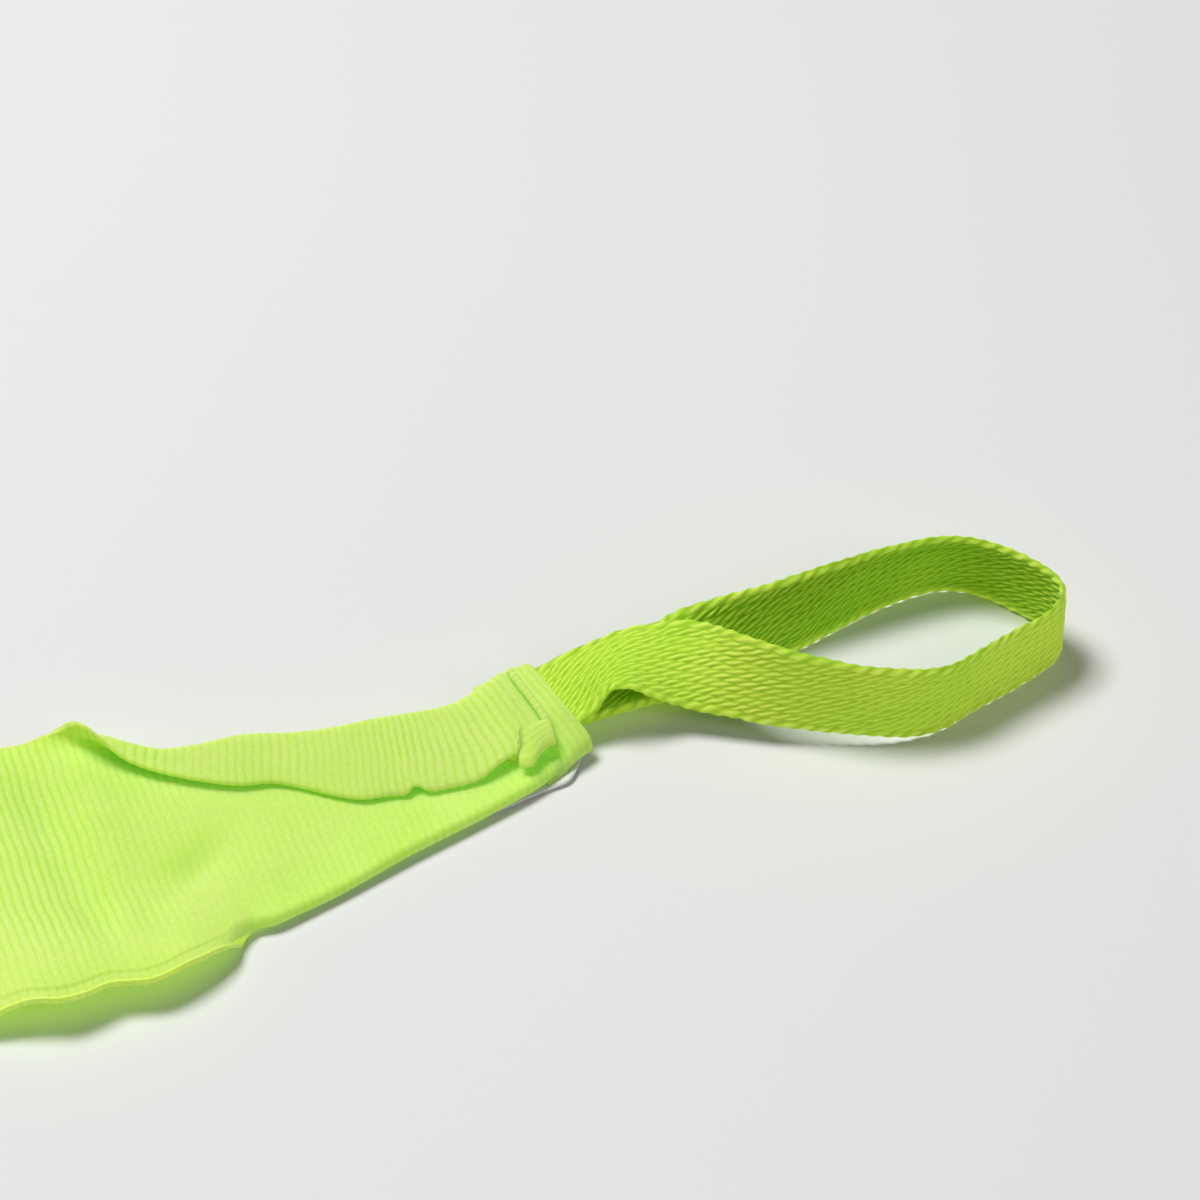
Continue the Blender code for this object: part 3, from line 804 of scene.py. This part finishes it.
def build_tape():
    """The whole tape, from one sewn-in end round the loop to the other."""
    route = spline(LOOP_ROUTE, 12)
    places = at_mouth(route[:, 0], route[:, 1], route[:, 2])
    rows = np.concatenate([places, route[:, 3:]], axis=1)
    gaps = np.linalg.norm(np.diff(rows[:, :3], axis=0), axis=1)
    far = np.concatenate([[0], np.cumsum(gaps)])
    count = round(far[-1] / TAPE_STEP)
    along = np.linspace(0, far[-1], count + 1)
    rows = np.stack([np.interp(along, far, rows[:, k]) for k in range(4)], axis=-1)
    for k in range(12):
        rows[1:-1] = (rows[:-2] + 2 * rows[1:-1] + rows[2:]) / 4
    line, lean = rows[:, :3], np.radians(rows[:, 3])

    run = np.gradient(line, axis=0)
    run = run / np.linalg.norm(run, axis=1)[:, None]
    level = np.stack([-run[:, 1], run[:, 0], np.zeros(len(run))], axis=-1)
    level = level / np.linalg.norm(level, axis=1)[:, None]
    width = level * np.cos(lean)[:, None] + np.array([0, 0, 1.0]) * np.sin(lean)[:, None]
    width = width - run * (width * run).sum(axis=1)[:, None]
    width = width / np.linalg.norm(width, axis=1)[:, None]
    out = np.cross(run, width)

    columns = 62
    t = np.linspace(-1, 1, columns)
    edge = rim(columns, (0.35, 0.7, 0.9))
    across = t[None, :] * TAPE_WIDTH / 2
    a = along[:, None]
    free = smooth(14, 24, along) * smooth(14, 24, along[-1] - along)
    scallop = 1 + (0.014 * np.sin(2 * np.pi * a / 2.3) + 0.012 * ripple(a / 3.0, t, 9.0)) \
        * free[:, None]
    sway = (0.35 * ripple(a / 5.5, across / 8.0, 4.0)
            + 0.5 * ripple(a / 11.0, across / 20.0, 6.0)) * free[:, None]
    points, reliefs = [], []
    for side in (1, -1):
        relief = yarns(a + (0 if side > 0 else 0.6), across * side)
        thick = (TAPE / 2 - 0.1 + 0.25 * relief) * edge[None, :]
        points.append(line[:, None] + width[:, None] * (across * scallop)[..., None]
                      + out[:, None] * (side * thick + sway)[..., None])
        reliefs.append(relief)
    low = points[1][..., 2].min(axis=1)
    lowest = np.minimum(low, points[0][..., 2].min(axis=1))
    raise_by = np.maximum(0.15 - lowest, 0)
    for grid in points:
        grid[..., 2] += raise_by[:, None]
    pattern = np.stack(np.broadcast_arrays(a, across), axis=-1)
    # The outer face is marked 0 and the inner face 1 for the tape's painted light by face.
    mesh = closed_sheet("thumb_loop_tape", points[0], points[1], pattern, reliefs[0], 0.0, 1.0)
    heights = np.concatenate([reliefs[0], reliefs[1][:, ::-1]], axis=1).ravel()
    mesh.attributes["relief"].data.foreach_set("value", heights.astype(np.float32))
    made = new_object("thumb_loop_tape", mesh, TAPE_CLOTH)
    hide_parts("thumb_loop", "tape_end_lower", "tape_end_upper")
    start = at_mouth(-0.6, 0.3, 4.45) * MM
    end = at_mouth(4.4, 0.3, 4.45) * MM
    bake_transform(made)
    return made, along[-1]


# ---- patches and stitching -------------------------------------------------------------

def stitches(name, line, length, gap, radius, material, node, body):
    """Separate stitches along a line of points, each dipping into the cloth at its ends."""
    line, far = resample(line, 0.1)
    points, faces, base = [], [], 0
    start = 0.0
    while start + length <= far[-1] + 0.05:
        places = np.linspace(start, start + length, 9)
        path = np.stack([np.interp(places, far, line[:, k]) for k in range(3)], axis=-1)
        t = np.linspace(-1, 1, 9)
        path[:, 2] -= 0.30 * t ** 4
        widths = radius * (1 - 0.45 * t ** 6)
        rings = tube(path, widths, widths, 8, np.array([0, 0, 1.0]))
        faces += tube_faces(rings, base)
        base += rings.shape[0] * rings.shape[1]
        points.append(rings.reshape(-1, 3))
        start += length + gap
    mesh = mesh_from(name, np.concatenate(points), faces)
    made = new_object(name, mesh, material)
    if node:
        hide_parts(node)
    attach(made, body)
    return made


def rounded_box(centre_x, length, width, corner, height):
    points = []
    for quarter in range(4):
        cx = (length / 2 - corner) * (1 if quarter in (0, 3) else -1)
        cy = (width / 2 - corner) * (1 if quarter in (0, 1) else -1)
        for k in range(7):
            angle = math.pi / 2 * (quarter + k / 6)
            points.append((centre_x + cx + corner * math.cos(angle),
                           cy + corner * math.sin(angle), height))
    points.append(points[0])
    return points


def patch_grid(centre_x, length, width, corner, step):
    """Grid points of a patch with rounded corners, and how far each lies from the rim."""
    rows, columns = round(length / step) + 1, round(width / step) + 1
    x = np.linspace(-length / 2, length / 2, rows)[:, None]
    y = np.linspace(-width / 2, width / 2, columns)[None, :]
    inner = np.maximum(np.abs(y) - (width / 2 - corner), 0)
    cut = corner - np.sqrt(np.maximum(corner ** 2 - inner ** 2, 0))
    x = x * (1 - cut / (length / 2))
    y = y + 0 * x
    rim_x = length / 2 - cut - np.abs(x)
    rim_y = width / 2 - np.abs(y)
    return centre_x + x, y, np.minimum(rim_x, rim_y)


def build_pile():
    """The brushed loop pile under the thumb end, its fluff facing down."""
    length, width = 32.0, 38.0
    x, y, inside = patch_grid(0.0, length, width, 3.0, 0.35)
    sewn = bump(2.0, 0.7, inside)
    fluff = ripple(x * 3.1, y * 2.7, 1.0) * 0.09 + ripple(x * 7.3, y * 6.1, 4.0) * 0.08
    depth = 1.15 - 0.55 * sewn + fluff
    depth = depth * np.clip(0.35 + inside / 0.8, 0, 1)
    top = np.stack([x, y, np.full(x.shape, 1.42)], axis=-1)
    low = np.stack([x, y, 1.42 - np.maximum(depth, 0.2)], axis=-1)
    pattern = np.stack([x, y], axis=-1)
    mesh = closed_sheet("pile_patch_loops", low, top, pattern, fluff)
    made = new_object("pile_patch_loops", mesh, PILE)
    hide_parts("pile_patch")
    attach(made, "thumb_end")
    return made


def build_hook():
    """The hook patch on the tab: a woven base with rows of small hooks."""
    length, width = 26.0, 38.0
    box_low, box_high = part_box("hook_patch")
    centre_x = (box_low[0] + box_high[0]) / 2 / MM
    base_z = 2.85
    x, y, inside = patch_grid(centre_x, length, width, 3.0, 0.4)
    thick = 0.42 * np.clip(0.5 + inside / 0.6, 0, 1) + 0.03 * np.sin(8 * x) * np.sin(8 * y)
    top = np.stack([x, y, base_z + thick], axis=-1)
    low = np.stack([x, y, np.full(x.shape, base_z)], axis=-1)
    pattern = np.stack([x, y], axis=-1)
    mesh = closed_sheet("hook_patch_base", top, low, pattern, 0 * x)
    base = new_object("hook_patch_base", mesh, HOOK)
    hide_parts("hook_patch")
    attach(base, "tab")

    points, faces, count = [], [], 0
    angle = np.linspace(0, math.pi * 1.25, 7)
    shape = np.stack([0.22 * (1 - np.cos(angle)), 0 * angle, 0.42 + 0.22 * np.sin(angle)],
                     axis=-1)
    shape = np.concatenate([[[0, 0, 0]], shape])
    for i in range(17):
        for j in range(25):
            px = centre_x - length / 2 + 3.4 + i * 1.2
            py = -width / 2 + 3.4 + j * 1.3
            face = 1 if (i + j) % 2 else -1
            path = shape * np.array([1, face, 1]) + np.array([px, py, base_z + 0.38])
            size = np.full(len(path), 0.085)
            rings = tube(path, size, size, 5, np.array([0, 1.0, 0]))
            faces += tube_faces(rings, count)
            count += rings.shape[0] * rings.shape[1]
            points.append(rings.reshape(-1, 3))
    mesh = mesh_from("hook_patch_hooks", np.concatenate(points), faces)
    hooks = new_object("hook_patch_hooks", mesh, HOOK)
    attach(hooks, "tab")
    return base, hooks


def build_stitching():
    top = BAND_Z + PLY / 2 + RIB_HEIGHT + 0.12
    stitches("pile_patch_lockstitch", rounded_box(0.0, 28.0, 34.0, 2.0, top), 2.2, 0.55, 0.17,
             THREAD, "pile_patch_stitching", "thumb_end")
    low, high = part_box("hook_patch")
    centre_x = (low[0] + high[0]) / 2 / MM
    stitches("hook_patch_lockstitch", rounded_box(centre_x, 22.0, 34.0, 2.0, 3.42), 2.2, 0.55,
             0.17, THREAD, "hook_patch_stitching", "tab")
    low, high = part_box("tab_hem_stitching")
    hem_x = (low[0] + high[0]) / 2 / MM
    hem = [(hem_x, -23.0, top), (hem_x, 23.0, top)]
    stitches("tab_hem_lockstitch", hem, 2.2, 0.55, 0.17, THREAD, "tab_hem_stitching", "tab")
    bar = at_mouth(np.array([-5.9, -6.1, -6.4]), np.array([6.2, 0.8, -3.2]),
                   np.array([6.95, 6.95, 6.75]))
    stitches("loop_anchor_lockstitch", bar, 1.7, 0.5, 0.16, THREAD, "loop_anchor_stitching",
             "thumb_end")
    side = at_mouth(np.array([-8.0, -9.2, -10.9]), np.array([-3.9, -6.2, -8.4]),
                    np.array([6.7, 6.6, 5.3]))
    stitches("corner_lockstitch", side, 1.5, 0.4, 0.12, PINK_THREAD, None, "thumb_end")


# ---- build -----------------------------------------------------------------------------

folded_end = build_end()
bends = build_bending_pieces()
tab = build_tab()
mouth_pieces = [build_mouth_hem(), build_flap_roll(), build_corner_fold()]
build_label()
tape, tape_length = build_tape()
build_pile()
build_hook()
build_stitching()


# ---- floor, light and camera -----------------------------------------------------------

def build_stage():
    mesh = bpy.data.meshes.new("floor")
    size = 3.0
    mesh.from_pydata([(-size, -size, 0), (size, -size, 0), (size, size, 0), (-size, size, 0)],
                     [], [(0, 1, 2, 3)])
    mesh.materials.append(floor_paper())
    floor = bpy.data.objects.new("floor", mesh)
    bpy.context.scene.collection.objects.link(floor)

    world = bpy.data.worlds.new("studio")
    world.use_nodes = True
    sky = world.node_tree.nodes["Background"]
    sky.inputs["Color"].default_value = (1.0, 1.0, 1.0, 1.0)
    sky.inputs["Strength"].default_value = 0.09
    bpy.context.scene.world = world


def add_light(name, place, target, size, power):
    data = bpy.data.lights.new(name, "AREA")
    data.shape = "SQUARE"
    data.size = size
    data.energy = power
    light = bpy.data.objects.new(name, data)
    bpy.context.scene.collection.objects.link(light)
    light.location = place
    light.rotation_euler = (Vector(target) - Vector(place)).to_track_quat("-Z", "Y").to_euler()


def add_camera():
    azimuth, elevation = math.radians(-20.0), math.radians(40.3)
    target = Vector(((MOUTH_X + 16.1) * MM, (MOUTH_Y + 24.3) * MM, 0.0))
    back = Vector((math.sin(azimuth) * math.cos(elevation),
                   -math.cos(azimuth) * math.cos(elevation), math.sin(elevation)))
    data = bpy.data.cameras.new("camera")
    data.lens = 110
    data.sensor_width = 36
    data.clip_start = 0.01
    camera = bpy.data.objects.new("camera", data)
    bpy.context.scene.collection.objects.link(camera)
    camera.location = target + back * 0.5597
    camera.rotation_euler = (-back).to_track_quat("-Z", "Y").to_euler()
    bpy.context.scene.camera = camera


build_stage()
add_light("key", (-0.28, 0.44, 1.28), (0.18, 0.0, 0.0), 0.55, 18.2)
add_light("fill", (0.55, -0.95, 0.75), (0.13, 0.0, 0.0), 0.5, 2.4)
add_camera()
bpy.context.scene.view_settings.view_transform = "Standard"
